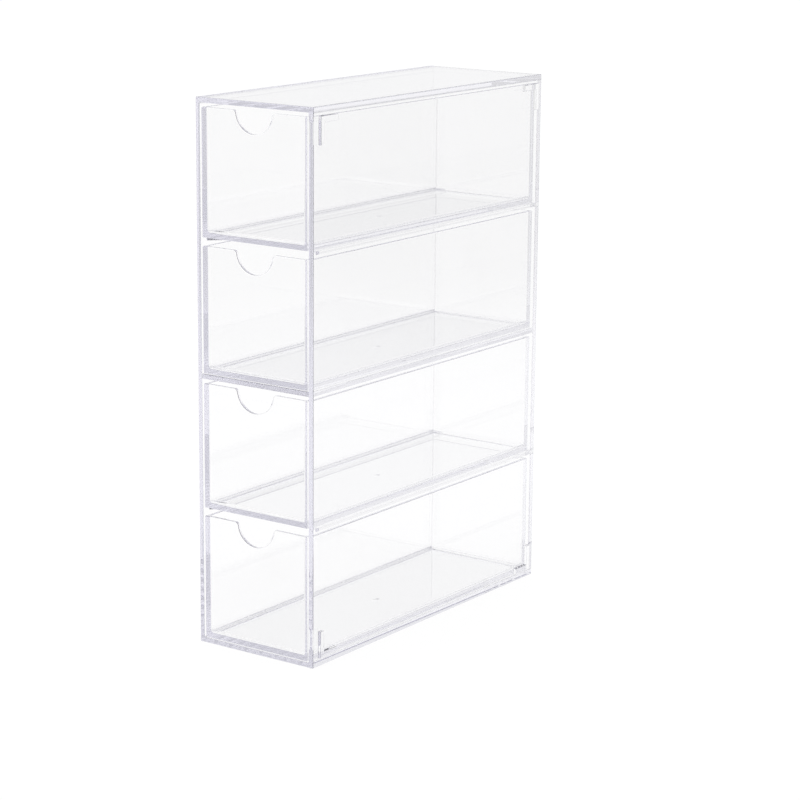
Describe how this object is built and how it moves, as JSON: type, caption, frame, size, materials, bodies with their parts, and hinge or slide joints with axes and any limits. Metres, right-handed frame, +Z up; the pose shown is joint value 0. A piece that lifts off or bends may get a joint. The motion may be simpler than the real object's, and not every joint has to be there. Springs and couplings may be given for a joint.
{
  "type": "sunglasses organizer",
  "caption": "Upright clear plastic case with a stack of slide-out drawers, each with a half-round finger notch, for storing folded sunglasses.",
  "frame": {"origin": "centre of the base's underside, on the surface that the organizer stands on", "axes": "+Z up, -Y towards the front where the drawers come out, +X to the right seen from the front"},
  "size_m": [0.0662, 0.18, 0.25],
  "materials": {
    "case_clear": "polished clear moulding",
    "panel_clear": "polished clear sheet",
    "drawer_clear": "polished clear moulding"
  },
  "bodies": {
    "case": {"case_sleeve": "case_clear", "back_panel": "panel_clear", "middle_shelf": "panel_clear", "upper_left_rail": "panel_clear", "upper_right_rail": "panel_clear", "lower_left_rail": "panel_clear", "lower_right_rail": "panel_clear"},
    "top_drawer": {"top_drawer": "drawer_clear"},
    "second_drawer": {"second_drawer": "drawer_clear"},
    "third_drawer": {"third_drawer": "drawer_clear"},
    "bottom_drawer": {"bottom_drawer": "drawer_clear"}
  },
  "joints": [
    {"name": "top_drawer_slide", "type": "slide", "parent": "case", "child": "top_drawer", "axis": [0, -1, 0], "range_m": [0, 0.15]},
    {"name": "second_drawer_slide", "type": "slide", "parent": "case", "child": "second_drawer", "axis": [0, -1, 0], "range_m": [0, 0.15]},
    {"name": "third_drawer_slide", "type": "slide", "parent": "case", "child": "third_drawer", "axis": [0, -1, 0], "range_m": [0, 0.15]},
    {"name": "bottom_drawer_slide", "type": "slide", "parent": "case", "child": "bottom_drawer", "axis": [0, -1, 0], "range_m": [0, 0.15]}
  ]
}
